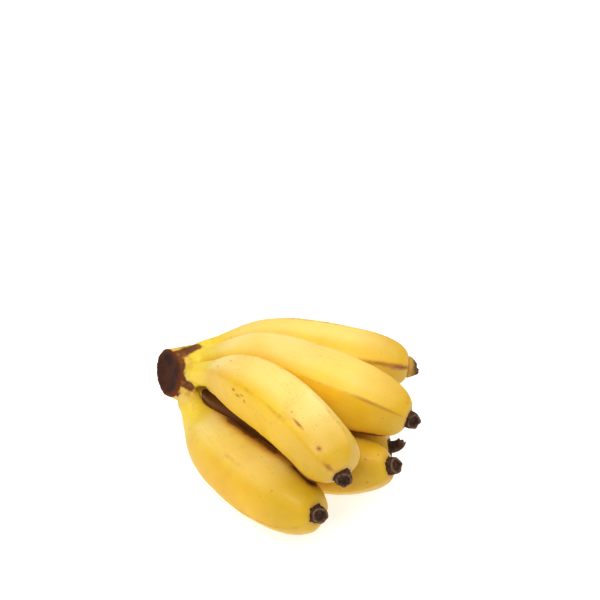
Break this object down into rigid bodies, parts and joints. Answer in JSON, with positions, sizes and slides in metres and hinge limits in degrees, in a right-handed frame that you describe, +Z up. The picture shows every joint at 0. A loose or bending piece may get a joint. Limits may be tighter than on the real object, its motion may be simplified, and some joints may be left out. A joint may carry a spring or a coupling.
{
  "type": "apple banana hand",
  "caption": "Hand of short, stout ripe bananas in two pressed rows on one cut crown, each with a dried blossom end, lying on its lower fingers.",
  "frame": {"origin": "middle of the hand's box, on the surface it lies on", "axes": "+X from the crown to the tips, +Y across the hand towards the back fingers, +Z up"},
  "size_m": [0.1502, 0.1369, 0.0732],
  "materials": {
    "skin": "ripe banana skin, smooth and waxy with a soft sheen, fine brown flecks, greener at the neck and the tip",
    "crown": "dried fibrous stem, tan outside with a dark red-brown cut face",
    "blossom_end": "dry, dark brown and wrinkled"
  },
  "bodies": {
    "root": {"crown": "crown", "finger_top_front": "skin", "finger_top_middle": "skin", "finger_top_back": "skin", "finger_low_front": "skin", "finger_low_middle": "skin", "finger_low_back": "skin", "blossom_end_top_front": "blossom_end", "blossom_end_top_middle": "blossom_end", "blossom_end_top_back": "blossom_end", "blossom_end_low_front": "blossom_end", "blossom_end_low_middle": "blossom_end", "blossom_end_low_back": "blossom_end"}
  },
  "joints": []
}
